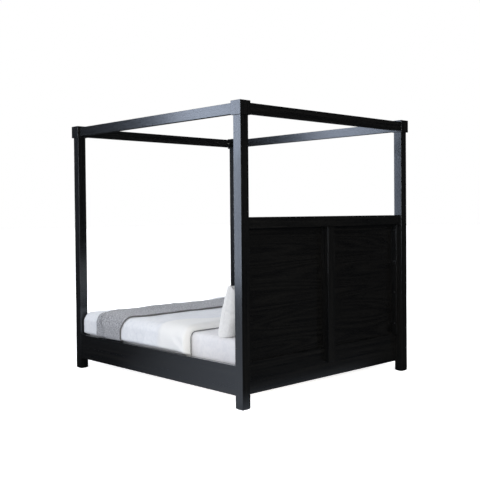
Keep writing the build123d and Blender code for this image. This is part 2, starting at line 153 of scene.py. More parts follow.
@dataclass(frozen=True)
class BlackStainedOak(Finish):
    """European oak, planed and sanded, stained black and sprayed with satin lacquer.

    The stain hides the wood's colour. The eye gets a near black with a cool shine, open pores that
    run as short dark ticks along the fibres, and growth rings that show as broad, faint lines.
    """

    grain: Grain = Grain.UPRIGHT
    flat_sawn: bool = False
    dark: str = "#080808"
    light: str = "#1C1B19"
    ring_mm: float = 17.0       # rings are 2 to 4 mm apart; drawn coarser so that they still show
    pore_mm: float = 2.2        # pores are 0.3 mm wide; drawn coarser for the same reason
    pore_length_mm: float = 38.0
    ring_length_mm: float = 640.0
    relief: float = 0.06
    arch_mm: float = 190.0      # the slow field whose level lines are a flat-sawn board's arches
    arch_length_mm: float = 2600.0
    arch_turns: float = 125.0
    tint: str = "#E2F0FF"       # satin lacquer over black looks slightly blue where it shines

    def stretch(self, width_mm: float, length_mm: float) -> tuple[float, float, float]:
        """Give the texture scale for a pattern of one size.

        Args:
            width_mm: The pattern's width across the fibres.
            length_mm: Its length along them.

        Returns:
            The scale along x, y and z.
        """
        scale = [1 / (width_mm * MM)] * 3
        scale[self.grain.value] = 1 / (length_mm * MM)
        return (scale[0], scale[1], scale[2])

    def paint(self, tree: bpy.types.NodeTree, shader: bpy.types.Node) -> None:
        """Connect rings and pores to colour, roughness and bump.

        Args:
            tree: The node tree of the material.
            shader: Its surface shader.
        """
        place = add(tree, "ShaderNodeTexCoord").outputs["Object"]
        ring_scale = self.stretch(self.ring_mm, self.ring_length_mm)
        ring_place = add(tree, "ShaderNodeMapping", {"Scale": ring_scale}, {"Vector": place})
        rings = add(tree, "ShaderNodeTexNoise", {"Scale": 1.0, "Detail": 3.0, "Roughness": 0.55,
                                                 "Distortion": 0.25}, {"Vector": ring_place.outputs[0]})
        figure = rings.outputs["Fac"]
        if self.flat_sawn:
            # A board cut flat through the log shows its rings as nested arches: they are the level
            # lines of a slow field, stretched along the fibres.
            slow_scale = self.stretch(self.arch_mm, self.arch_length_mm)
            slow_place = add(tree, "ShaderNodeMapping", {"Scale": slow_scale}, {"Vector": place})
            slow = add(tree, "ShaderNodeTexNoise", {"Scale": 1.0, "Detail": 1.0, "Roughness": 0.35,
                                                    "Distortion": 0.2}, {"Vector": slow_place.outputs[0]})
            turns = add(tree, "ShaderNodeMath", {"operation": "MULTIPLY", 1: self.arch_turns},
                        {0: slow.outputs["Fac"]})
            wave = add(tree, "ShaderNodeMath", {"operation": "SINE"}, {0: turns.outputs[0]})
            lifted = add(tree, "ShaderNodeMapRange", {"From Min": -1.0, "From Max": 1.0},
                         {"Value": wave.outputs[0]})
            blend = add(tree, "ShaderNodeMix", {"data_type": "FLOAT", 0: 0.35},
                        {2: figure, 3: lifted.outputs[0]})
            figure = blend.outputs[0]
        pore_scale = self.stretch(self.pore_mm, self.pore_length_mm)
        pore_place = add(tree, "ShaderNodeMapping", {"Scale": pore_scale}, {"Vector": place})
        pores = add(tree, "ShaderNodeTexNoise", {"Scale": 1.0, "Detail": 2.0, "Roughness": 0.6},
                    {"Vector": pore_place.outputs[0]})
        tick = add(tree, "ShaderNodeValToRGB",
                   {"stops": [(0.36, linear("#000000")), (0.50, linear("#FFFFFF"))]},
                   {"Fac": pores.outputs["Fac"]})
        tone = add(tree, "ShaderNodeValToRGB",
                   {"stops": [(0.30, linear(self.dark)), (0.72, linear(self.light))]}, {"Fac": figure})
        stained = add(tree, "ShaderNodeMix", {"data_type": "RGBA", "blend_type": "MULTIPLY", 0: 0.6},
                      {6: tone.outputs[0], 7: tick.outputs[0]})
        sheen = add(tree, "ShaderNodeMapRange", {"To Min": 0.26, "To Max": 0.19}, {"Value": figure})
        worn = add(tree, "ShaderNodeMath", {"operation": "MULTIPLY_ADD", 1: -0.04, 2: 0.04},
                   {0: tick.outputs[0]})
        rough = add(tree, "ShaderNodeMath", {"operation": "ADD"}, {0: sheen.outputs[0], 1: worn.outputs[0]})
        height = add(tree, "ShaderNodeMath", {"operation": "MULTIPLY_ADD", 1: 0.35},
                     {0: figure, 2: tick.outputs[0]})
        bump = add(tree, "ShaderNodeBump", {"Strength": self.relief, "Distance": 0.0006},
                   {"Height": height.outputs[0]})
        tree.links.new(stained.outputs[2], shader.inputs["Base Color"])
        tree.links.new(rough.outputs[0], shader.inputs["Roughness"])
        tree.links.new(bump.outputs[0], shader.inputs["Normal"])
        shader.inputs["IOR"].default_value = 1.5
        shader.inputs["Specular Tint"].default_value = linear(self.tint)
        shader.inputs["Coat Weight"].default_value = 0.6
        shader.inputs["Coat Roughness"].default_value = 0.15


@dataclass(frozen=True)
class PlanedPine(Finish):
    """Pine, planed and left bare: pale yellow with darker late wood lines, and no polish."""

    grain: Grain = Grain.ACROSS
    pale: str = "#D9B98A"
    late: str = "#B98C58"
    ring_mm: float = 9.0
    ring_length_mm: float = 700.0

    def paint(self, tree: bpy.types.NodeTree, shader: bpy.types.Node) -> None:
        """Connect growth lines to colour and bump.

        Args:
            tree: The node tree of the material.
            shader: Its surface shader.
        """
        scale = [1 / (self.ring_mm * MM)] * 3
        scale[self.grain.value] = 1 / (self.ring_length_mm * MM)
        place = add(tree, "ShaderNodeTexCoord").outputs["Object"]
        along = add(tree, "ShaderNodeMapping", {"Scale": tuple(scale)}, {"Vector": place})
        rings = add(tree, "ShaderNodeTexNoise", {"Scale": 1.0, "Detail": 3.0, "Roughness": 0.6},
                    {"Vector": along.outputs[0]})
        tone = add(tree, "ShaderNodeValToRGB",
                   {"stops": [(0.40, linear(self.pale)), (0.66, linear(self.late))]},
                   {"Fac": rings.outputs["Fac"]})
        bump = add(tree, "ShaderNodeBump", {"Strength": 0.25, "Distance": 0.0005},
                   {"Height": rings.outputs["Fac"]})
        tree.links.new(tone.outputs[0], shader.inputs["Base Color"])
        tree.links.new(bump.outputs[0], shader.inputs["Normal"])
        shader.inputs["Roughness"].default_value = 0.62
        shader.inputs["IOR"].default_value = 1.5


@dataclass(frozen=True)
class ZincPlatedSteel(Finish):
    """Bright zinc-plated steel of screws, studs and nuts: pale grey metal with a fine mottled dullness."""

    colour: str = "#C3C4C0"
    mottle_mm: float = 3.0

    def paint(self, tree: bpy.types.NodeTree, shader: bpy.types.Node) -> None:
        """Connect the mottle of the plating to the roughness.

        Args:
            tree: The node tree of the material.
            shader: Its surface shader.
        """
        place = add(tree, "ShaderNodeTexCoord").outputs["Object"]
        mottle = add(tree, "ShaderNodeTexNoise", {"Scale": 1 / (self.mottle_mm * MM), "Detail": 3.0},
                     {"Vector": place})
        rough = add(tree, "ShaderNodeMapRange", {"To Min": 0.25, "To Max": 0.48},
                    {"Value": mottle.outputs["Fac"]})
        tree.links.new(rough.outputs[0], shader.inputs["Roughness"])
        shader.inputs["Base Color"].default_value = linear(self.colour)
        shader.inputs["Metallic"].default_value = 1.0


@dataclass(frozen=True)
class TexturedCoat(Finish):
    """A thin opaque skin with a fine orange-peel texture: powder-coated steel or moulded polypropylene."""

    colour: str = "#1B1C1E"
    grit_mm: float = 1.2
    roughness: float = 0.55

    def paint(self, tree: bpy.types.NodeTree, shader: bpy.types.Node) -> None:
        """Connect the orange peel to bump and a slight change of tone.

        Args:
            tree: The node tree of the material.
            shader: Its surface shader.
        """
        place = add(tree, "ShaderNodeTexCoord").outputs["Object"]
        grit = add(tree, "ShaderNodeTexNoise", {"Scale": 1 / (self.grit_mm * MM), "Detail": 2.0},
                   {"Vector": place})
        tone = add(tree, "ShaderNodeMix", {"data_type": "RGBA", "blend_type": "MULTIPLY", 0: 0.3,
                                           6: linear(self.colour)}, {7: grit.outputs["Color"]})
        bump = add(tree, "ShaderNodeBump", {"Strength": 0.3, "Distance": 0.0003},
                   {"Height": grit.outputs["Fac"]})
        tree.links.new(tone.outputs[2], shader.inputs["Base Color"])
        tree.links.new(bump.outputs[0], shader.inputs["Normal"])
        shader.inputs["Roughness"].default_value = self.roughness


@dataclass(frozen=True)
class WhiteCotton(Finish):
    """White cotton woven plain and washed: a soft matt white, finely crinkled, with a faint bloom."""

    colour: str = "#F5F3F0"
    # painted shade: a darker white for the crinkles' hollows, which follows the crinkle bump
    shade: str = "#E8E7E6"
    thread_mm: float = 1.6      # a thread is 0.25 mm wide; drawn coarser so that the weave can show
    crinkle_mm: float = 26.0
    crinkle_depth: float = 0.0016
    bloom: float = 0.25
    turned_highlight: str = ""           # painted highlight: a brighter, warmer white where a piece is marked as turned over

    def paint(self, tree: bpy.types.NodeTree, shader: bpy.types.Node) -> None:
        """Connect the weave, the crinkles left by washing, and painted shade in the crinkles' hollows.

        Args:
            tree: The node tree of the material.
            shader: Its surface shader.
        """
        place = add(tree, "ShaderNodeTexCoord").outputs["Object"]
        crinkle = add(tree, "ShaderNodeTexNoise", {"Scale": 1 / (self.crinkle_mm * MM), "Detail": 4.0,
                                                   "Roughness": 0.62, "Distortion": 0.6}, {"Vector": place})
        threads = 2 * math.pi / (self.thread_mm * MM) / WAVE_RATE
        warp = add(tree, "ShaderNodeTexWave", {"wave_type": "BANDS", "bands_direction": "DIAGONAL",
                                               "Scale": threads, "Distortion": 1.0}, {"Vector": place})
        # painted shade: the tone darkens where the crinkle noise, and so the bump, is low
        tone = add(tree, "ShaderNodeValToRGB",
                   {"stops": [(0.25, linear(self.shade)), (0.6, linear(self.colour))]},
                   {"Fac": crinkle.outputs["Fac"]})
        soft = add(tree, "ShaderNodeBump", {"Strength": 0.5, "Distance": self.crinkle_depth},
                   {"Height": crinkle.outputs["Fac"]})
        weave = add(tree, "ShaderNodeBump", {"Strength": 0.12, "Distance": 0.0002},
                    {"Height": warp.outputs["Fac"], "Normal": soft.outputs[0]})
        colour = tone.outputs[0]
        # painted highlight: the turned-over part is mixed towards a brighter, warmer white
        if self.turned_highlight:
            turned = add(tree, "ShaderNodeAttribute", {"attribute_name": "turned_over"})
            other = add(tree, "ShaderNodeMix", {"data_type": "RGBA", 7: linear(self.turned_highlight)},
                        {0: turned.outputs["Fac"], 6: colour})
            colour = other.outputs[2]
        tree.links.new(colour, shader.inputs["Base Color"])
        tree.links.new(weave.outputs[0], shader.inputs["Normal"])
        shader.inputs["Roughness"].default_value = 0.88
        shader.inputs["Specular IOR Level"].default_value = 0.25
        shader.inputs["Sheen Weight"].default_value = self.bloom
        shader.inputs["Sheen Roughness"].default_value = 0.5


@dataclass(frozen=True)
class HeatherWool(Finish):
    """Wool and acrylic yarn in mixed greys, woven as a twill and brushed.

    The eye gets flecks of dark and pale yarn, slanting twill lines and a soft fuzz, with a darker
    band at the edge, partly a dark hem and partly painted shade along the fold.
    """

    dark: str = "#56565A"
    middle: str = "#9A9A9D"
    pale: str = "#CECED0"
    # the darker edge band: partly a dark hem colour, partly painted shade along the fold
    edge: str = "#626160"
    yarn_mm: float = 4.5        # yarn is about 2 mm thick; drawn coarser so that the twill can show
    fleck_mm: tuple[float, float] = (29.4, 3.85)    # flecks of the yarn that runs the throw's length
    slub_mm: tuple[float, float] = (4.76, 25.0)     # slubs of the yarn that crosses it

    def paint(self, tree: bpy.types.NodeTree, shader: bpy.types.Node) -> None:
        """Connect flecks, twill and the darker edge band, partly hem and partly painted shade; the sheet
        carries its own flat coordinates in metres.

        Args:
            tree: The node tree of the material.
            shader: Its surface shader.
        """
        flat = add(tree, "ShaderNodeUVMap", {"uv_map": "cloth"}).outputs[0]
        fleck_scale, slub_scale = ((1 / (size[0] * MM), 1 / (size[1] * MM), 1.0)
                                   for size in (self.fleck_mm, self.slub_mm))
        fleck_place = add(tree, "ShaderNodeMapping", {"Scale": fleck_scale}, {"Vector": flat})
        flecks = add(tree, "ShaderNodeTexNoise", {"Scale": 1.0, "Detail": 4.0, "Roughness": 0.75},
                     {"Vector": fleck_place.outputs[0]})
        slub_place = add(tree, "ShaderNodeMapping", {"Scale": slub_scale}, {"Vector": flat})
        slubs = add(tree, "ShaderNodeTexNoise", {"Scale": 1.0, "Detail": 3.0, "Roughness": 0.7},
                    {"Vector": slub_place.outputs[0]})
        both = add(tree, "ShaderNodeMix", {"data_type": "FLOAT", 0: 0.5},
                   {2: flecks.outputs["Fac"], 3: slubs.outputs["Fac"]})
        tone = add(tree, "ShaderNodeValToRGB",
                   {"stops": [(0.41, linear(self.dark)), (0.49, linear(self.middle)),
                              (0.58, linear(self.pale))]},
                   {"Fac": both.outputs[0]})
        # painted shade along the fold, partly a dark hem: the edge band darkens the yarn
        edge = add(tree, "ShaderNodeAttribute", {"attribute_name": "bound_edge"})
        hem_and_shade_band = add(tree, "ShaderNodeMix", {"data_type": "RGBA", 7: linear(self.edge)},
                    {0: edge.outputs["Fac"], 6: tone.outputs[0]})
        slant = add(tree, "ShaderNodeMapping", {"Rotation": (0.0, 0.0, math.radians(45))},
                    {"Vector": flat})
        twill = add(tree, "ShaderNodeTexWave", {"wave_type": "BANDS", "bands_direction": "X",
                                                "Scale": 2 * math.pi / (WAVE_RATE * self.yarn_mm * MM),
                                                "Distortion": 0.8, "Detail": 1.0},
                    {"Vector": slant.outputs[0]})
        relief = add(tree, "ShaderNodeMath", {"operation": "ADD"},
                     {0: twill.outputs["Fac"], 1: both.outputs[0]})
        bump = add(tree, "ShaderNodeBump", {"Strength": 0.6, "Distance": 0.0012},
                   {"Height": relief.outputs[0]})
        tree.links.new(hem_and_shade_band.outputs[2], shader.inputs["Base Color"])
        tree.links.new(bump.outputs[0], shader.inputs["Normal"])
        shader.inputs["Roughness"].default_value = 0.95
        shader.inputs["Specular IOR Level"].default_value = 0.15
        shader.inputs["Sheen Weight"].default_value = 0.35
        shader.inputs["Sheen Roughness"].default_value = 0.6


@dataclass(frozen=True)
class CoarseCloth(Finish):
    """A plain woven or felted cloth in one colour: piping cord, mattress ticking, webbing or felt."""

    colour: str = "#77787C"
    thread_mm: float = 2.0
    relief: float = 0.0006

    def paint(self, tree: bpy.types.NodeTree, shader: bpy.types.Node) -> None:
        """Connect crossed threads and their uneven dye.

        Args:
            tree: The node tree of the material.
            shader: Its surface shader.
        """
        place = add(tree, "ShaderNodeTexCoord").outputs["Object"]
        threads = add(tree, "ShaderNodeTexVoronoi", {"Scale": 1 / (self.thread_mm * MM)}, {"Vector": place})
        dye = add(tree, "ShaderNodeTexNoise", {"Scale": 1 / (6 * self.thread_mm * MM), "Detail": 3.0},
                  {"Vector": place})
        tone = add(tree, "ShaderNodeMix", {"data_type": "RGBA", "blend_type": "MULTIPLY", 0: 0.35,
                                           6: linear(self.colour)}, {7: dye.outputs["Color"]})
        bump = add(tree, "ShaderNodeBump", {"Strength": 0.5, "Distance": self.relief},
                   {"Height": threads.outputs["Distance"]})
        tree.links.new(tone.outputs[2], shader.inputs["Base Color"])
        tree.links.new(bump.outputs[0], shader.inputs["Normal"])
        shader.inputs["Roughness"].default_value = 0.92
        shader.inputs["Sheen Weight"].default_value = 0.2


# ------------------------------------------------------------------ mesh helpers
def mesh_piece(name: str, points: np.ndarray, faces: list[Any], finish: Finish,
               flat: np.ndarray | None = None) -> bpy.types.Object:
    """Make a smooth mesh object.

    Args:
        name: The piece's name.
        points: One row of x, y and z for each vertex, in metres.
        faces: Vertex numbers of each face.
        finish: What the surface is made of.
        flat: Where each vertex lies on the cloth laid flat, in metres, if the finish needs it.

    Returns:
        The new object, linked to the scene.
    """
    mesh = bpy.data.meshes.new(name)
    mesh.from_pydata([tuple(p) for p in points.tolist()], [], [tuple(f) for f in faces])
    mesh.validate()
    if flat is not None:
        layer = mesh.uv_layers.new(name="cloth")
        corners = np.zeros(len(mesh.loops), np.int64)
        mesh.loops.foreach_get("vertex_index", corners)
        layer.data.foreach_set("uv", flat[corners].astype(np.float32).ravel())
    mesh.polygons.foreach_set("use_smooth", [True] * len(mesh.polygons))
    mesh.materials.append(finish.build())
    made = bpy.data.objects.new(name, mesh)
    bpy.context.scene.collection.objects.link(made)
    return made


def places(piece: bpy.types.Object) -> np.ndarray:
    """Read the vertices of a piece.

    Args:
        piece: A mesh object.

    Returns:
        Rows of x, y and z in metres.
    """
    found = np.zeros(len(piece.data.vertices) * 3, np.float32)
    piece.data.vertices.foreach_get("co", found)
    return found.reshape(-1, 3).astype(float)


def put(piece: bpy.types.Object, points: np.ndarray) -> None:
    """Write the vertices of a piece."""
    piece.data.vertices.foreach_set("co", points.astype(np.float32).ravel())
    piece.data.update()


def apply_modifier(piece: bpy.types.Object, kind: str, **settings: Any) -> None:
    """Add one modifier to a piece and keep its result as the piece's own mesh.

    Args:
        piece: The object to change.
        kind: The modifier's type name.
        settings: Its settings by name.
    """
    made = piece.modifiers.new(kind.lower(), kind)
    for key, value in settings.items():
        setattr(made, key, value)
    graph = bpy.context.evaluated_depsgraph_get()
    mesh = bpy.data.meshes.new_from_object(piece.evaluated_get(graph), preserve_all_data_layers=True,
                                           depsgraph=graph)
    piece.modifiers.clear()
    old = piece.data
    piece.data = mesh
    bpy.data.meshes.remove(old)


def inflate(piece: bpy.types.Object, pressure: float, frames: int, cap: float, swell: float = 0.0,
            held: list[int] | None = None, bending: float = 0.3) -> None:
    """Blow a sewn case up like a filled one by cloth simulation, and keep the result.

    Args:
        piece: A closed mesh.
        pressure: The filling's push.
        frames: How many steps to run.
        cap: The furthest that a point may move, in metres.
        swell: The share by which the cloth is larger than its shape, which makes it crease.
        held: The vertices that stay where they are.
        bending: The cloth's stiffness against folding.
    """
    start = places(piece)
    made = piece.modifiers.new("cloth", "CLOTH")
    cloth = made.settings
    cloth.quality = 6
    cloth.mass = 0.3
    cloth.tension_stiffness = 15.0
    cloth.compression_stiffness = 15.0
    cloth.shear_stiffness = 5.0
    cloth.bending_stiffness = bending
    cloth.use_pressure = True
    cloth.uniform_pressure_force = pressure
    cloth.shrink_min = -swell
    cloth.effector_weights.gravity = 0.0
    made.collision_settings.use_collision = False
    if held:
        group = piece.vertex_groups.new(name="held")
        group.add(held, 1.0, "REPLACE")
        cloth.vertex_group_mass = "held"
    made.point_cache.frame_start = 1
    made.point_cache.frame_end = frames
    scene = bpy.context.scene
    for step in range(1, frames + 1):
        scene.frame_set(step)
    graph = bpy.context.evaluated_depsgraph_get()
    result = piece.evaluated_get(graph).to_mesh()
    found = np.zeros(len(result.vertices) * 3, np.float32)
    result.vertices.foreach_get("co", found)
    piece.evaluated_get(graph).to_mesh_clear()
    piece.modifiers.clear()
    scene.frame_set(1)
    move = found.reshape(-1, 3).astype(float) - start
    length = np.linalg.norm(move, axis=1)
    limit = cap * np.tanh(length / cap)
    put(piece, start + move * (limit / np.maximum(length, 1e-9))[:, None])


def noise_field(u: np.ndarray, v: np.ndarray, size: float, seed: int) -> np.ndarray:
    """Smooth seeded noise from about -1 to 1.

    Args:
        u: First coordinate of each point, in metres.
        v: Second coordinate of each point, in metres.
        size: The size of the noise's hills, in metres.
        seed: Which noise.

    Returns:
        One value for each point.
    """
    grid = np.random.RandomState(seed).uniform(-1, 1, (128, 128))
    a, b = u / size + 41.7, v / size + 23.3
    i, j = np.floor(a).astype(int), np.floor(b).astype(int)
    fa, fb = a - i, b - j
    fa, fb = fa * fa * fa * (fa * (fa * 6 - 15) + 10), fb * fb * fb * (fb * (fb * 6 - 15) + 10)
    c00, c10 = grid[i % 128, j % 128], grid[(i + 1) % 128, j % 128]
    c01, c11 = grid[i % 128, (j + 1) % 128], grid[(i + 1) % 128, (j + 1) % 128]
    return (c00 * (1 - fa) + c10 * fa) * (1 - fb) + (c01 * (1 - fa) + c11 * fa) * fb


def creases(u: np.ndarray, v: np.ndarray, size: float, seed: int) -> np.ndarray:
    """Sharp-crested folds from 0 to 1: noise bent by slower noise, with noise_field's arguments."""
    bend = noise_field(u, v, size * 2.2, seed + 7) * size * 0.8
    return (1 - np.abs(noise_field(u + bend, v - bend, size, seed))) ** 3


@dataclass(frozen=True)
class Unevenness:
    """One kind of hill or fold in a soft surface: its size and depth in metres, and which noise."""

    size: float
    depth: float
    seed: int


def smooth_step(value: np.ndarray | float, low: float, high: float) -> np.ndarray:
    """Go smoothly from 0 at low to 1 at high."""
    share = np.clip((np.asarray(value, float) - low) / (high - low), 0, 1)
    return share * share * (3 - 2 * share)


def tube(name: str, path: np.ndarray, radius: float, finish: Finish, closed: bool = False,
         around: int = 8) -> bpy.types.Object:
    """Make a cord that follows a path, such as a piping or a taped edge.

    Args:
        name: The piece's name.
        path: The points that it follows, in metres.
        radius: Its radius in metres.
        finish: What it is made of.
        closed: Whether the end joins the start.
        around: Points around its section.

    Returns:
        The new object.
    """
    count = len(path)
    ahead = np.roll(path, -1, axis=0) if closed else np.vstack([path[1:], path[-1:]])
    behind = np.roll(path, 1, axis=0) if closed else np.vstack([path[:1], path[:-1]])
    along = ahead - behind
    along /= np.linalg.norm(along, axis=1)[:, None]
    guide = np.where(np.abs(along[:, 2:3]) > 0.8, np.array([[0.0, 1.0, 0.0]]), np.array([[0.0, 0.0, 1.0]]))
    first = np.cross(along, guide)
    first /= np.linalg.norm(first, axis=1)[:, None]
    for index in range(1, count):
        turned = first[index - 1] - along[index] * float(first[index - 1] @ along[index])
        first[index] = turned / np.linalg.norm(turned)
    second = np.cross(along, first)
    angles = np.linspace(0, 2 * math.pi, around, endpoint=False)
    rings = [path[k] + radius * (np.cos(angles)[:, None] * first[k] + np.sin(angles)[:, None] * second[k])
             for k in range(count)]
    faces: list[Any] = []
    for k in range(count if closed else count - 1):
        here, there = k * around, ((k + 1) % count) * around
        faces += [(here + i, here + (i + 1) % around, there + (i + 1) % around, there + i)
                  for i in range(around)]
    if not closed:
        faces += [tuple(reversed(range(around))), tuple(range((count - 1) * around, count * around))]
    return mesh_piece(name, np.vstack(rings), faces, finish)


def grid_faces(rows: int, columns: int, start: int = 0, flip: bool = False) -> list[tuple[int, ...]]:
    """List the quads of a grid of points stored row by row.

    Args:
        rows: Points along the first direction.
        columns: Points along the second direction.
        start: The number of the first point.
        flip: Whether the faces look the other way.

    Returns:
        The vertex numbers of each quad.
    """
    found = []
    for r in range(rows - 1):
        for c in range(columns - 1):
            a = start + r * columns + c
            quad = (a, a + 1, a + columns + 1, a + columns)
            found.append(tuple(reversed(quad)) if flip else quad)
    return found


def sewn_case(rows: int, columns: int) -> tuple[list[tuple[int, ...]], np.ndarray, list[int]]:
    """List the faces of two equal grids that are sewn together round their rim.

    Args:
        rows: Points along the first direction.
        columns: Points along the second direction.

    Returns:
        The faces, the number that each point of the second grid has, and the rim's vertices in order.
    """
    number = np.arange(rows * columns).reshape(rows, columns)
    second = number.copy()
    inside = np.zeros((rows, columns), bool)
    inside[1:-1, 1:-1] = True
    second[inside] = rows * columns + np.arange(inside.sum())
    faces = grid_faces(rows, columns)
    for r in range(rows - 1):
        for c in range(columns - 1):
            faces.append((second[r, c], second[r + 1, c], second[r + 1, c + 1], second[r, c + 1]))
    rim = list(number[0, :]) + list(number[1:, -1]) + list(number[-1, -2::-1]) + list(number[-2:0:-1, 0])
    return faces, second, [int(i) for i in rim]


# ------------------------------------------------------------------ the bedstead
@dataclass
class Bedstead:
    """The wooden and steel frame, whose shapes are the CAD nodes; each gets its finish."""

    body: str = "bedstead"
    upright: BlackStainedOak = BlackStainedOak("black_oak_upright", Grain.UPRIGHT)
    across: BlackStainedOak = BlackStainedOak("black_oak_across", Grain.ACROSS)
    along: BlackStainedOak = BlackStainedOak("black_oak_along", Grain.ALONG)
    panel: BlackStainedOak = BlackStainedOak("black_oak_flat_sawn", Grain.ACROSS, True, "#0C0B0A", "#171614",
                                             relief=0.08)
    pine_across: PlanedPine = PlanedPine("pine_across", Grain.ACROSS)
    pine_along: PlanedPine = PlanedPine("pine_along", Grain.ALONG)
    pine_upright: PlanedPine = PlanedPine("pine_upright", Grain.UPRIGHT)
    beech: PlanedPine = PlanedPine("beech_dowel", Grain.ALONG, "#CFA77C", "#B98A5C", 4.0, 60.0)
    zinc: ZincPlatedSteel = ZincPlatedSteel("zinc_plated_steel")
    powder: TexturedCoat = TexturedCoat("powder_coated_steel")
    plastic: TexturedCoat = TexturedCoat("moulded_polypropylene", "#161718", 0.9, 0.5)
    felt: CoarseCloth = CoarseCloth("pressed_felt", "#3A3A3C", 1.5, 0.0008)
    webbing: CoarseCloth = CoarseCloth("polyester_webbing", "#CFCBC0", 2.0, 0.0008)

    def finish_for(self, node: str) -> Finish:
        """Choose a finish for a CAD node from its name.

        Args:
            node: The node's name.

        Returns:
            The finish, with the grain along the member.
        """
        rules: list[tuple[tuple[str, ...], Finish]] = [
            (("post_glides",), self.felt),
            (("slat_straps",), self.webbing),
            (("levelling_foot",), self.plastic),
            (("canopy_studs", "canopy_cross_nuts", "bracket_lag", "bracket_screws", "ledger_screws",
              "hanger_screws", "leg_studs", "leg_inserts"), self.zinc),
            (("side_rail_bracket", "foot_rail_bracket", "beam_hanger", "headboard_lag"), self.powder),
            (("canopy_dowels", "headboard_dowels"), self.beech),
            (("slats",), self.pine_across),
            (("slat_ledger", "centre_beam"), self.pine_along),
            (("centre_leg",), self.pine_upright),
            (("headboard_panel",), self.panel),
            (("canopy_rail_head", "canopy_rail_foot", "foot_rail", "headboard_top", "headboard_bottom"),
             self.across),
            (("canopy_rail", "side_rail"), self.along),
        ]
        for starts, finish in rules:
            if node.startswith(starts):
                return finish
        return self.upright

    def dress(self) -> None:
        """Give every CAD node that stays its finish."""
        for node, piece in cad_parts.items():
            for slot in piece.material_slots:
                slot.material = self.finish_for(node).build()


